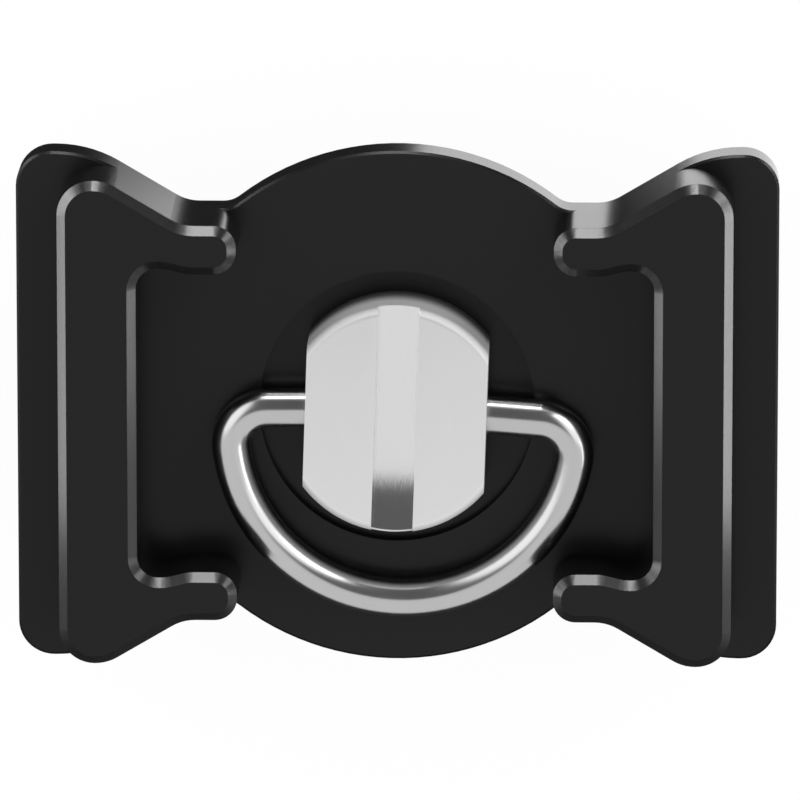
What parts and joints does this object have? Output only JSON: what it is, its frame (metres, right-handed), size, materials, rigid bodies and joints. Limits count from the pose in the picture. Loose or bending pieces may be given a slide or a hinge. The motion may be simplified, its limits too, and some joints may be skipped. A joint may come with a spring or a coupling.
{
  "type": "tripod quick release plate",
  "caption": "Bow-tie camera plate with hooked dovetail rails and a captive slotted screw with a folding D-ring, for fastening a camera to a tripod head.",
  "frame": {"origin": "on the camera screw's axis, in the outer face of the grip pad, which meets the camera", "axes": "+Z along the screw to the tripod side, +X along the plate's length, across its two rails"},
  "size_m": [0.0432, 0.0294, 0.0135],
  "materials": {
    "plate_aluminium": "satin black anodised",
    "pad_rubber": "matte, finely ribbed",
    "screw_steel": "satin, turned",
    "clip_steel": "dark spring steel",
    "ring_steel": "polished"
  },
  "bodies": {
    "plate": {"plate_body": "plate_aluminium", "grip_pad": "pad_rubber"},
    "clip": {"retaining_clip": "clip_steel"},
    "screw": {"camera_screw": "screw_steel"},
    "ring": {"d_ring": "ring_steel"}
  },
  "joints": [
    {"name": "screw_float", "type": "slide", "parent": "plate", "child": "clip", "axis": [0, 0, 1], "range_m": [0, 0.00045]},
    {"name": "screw_turn", "type": "hinge", "parent": "clip", "child": "screw", "pos_m": [0, 0, 0], "axis": [0, 0, 1], "continuous": true},
    {"name": "ring_fold", "type": "hinge", "parent": "screw", "child": "ring", "pos_m": [0, 0, 0.00445], "axis": [-0.9995, 0.0332, 0], "range_deg": [0, 181.5]}
  ]
}
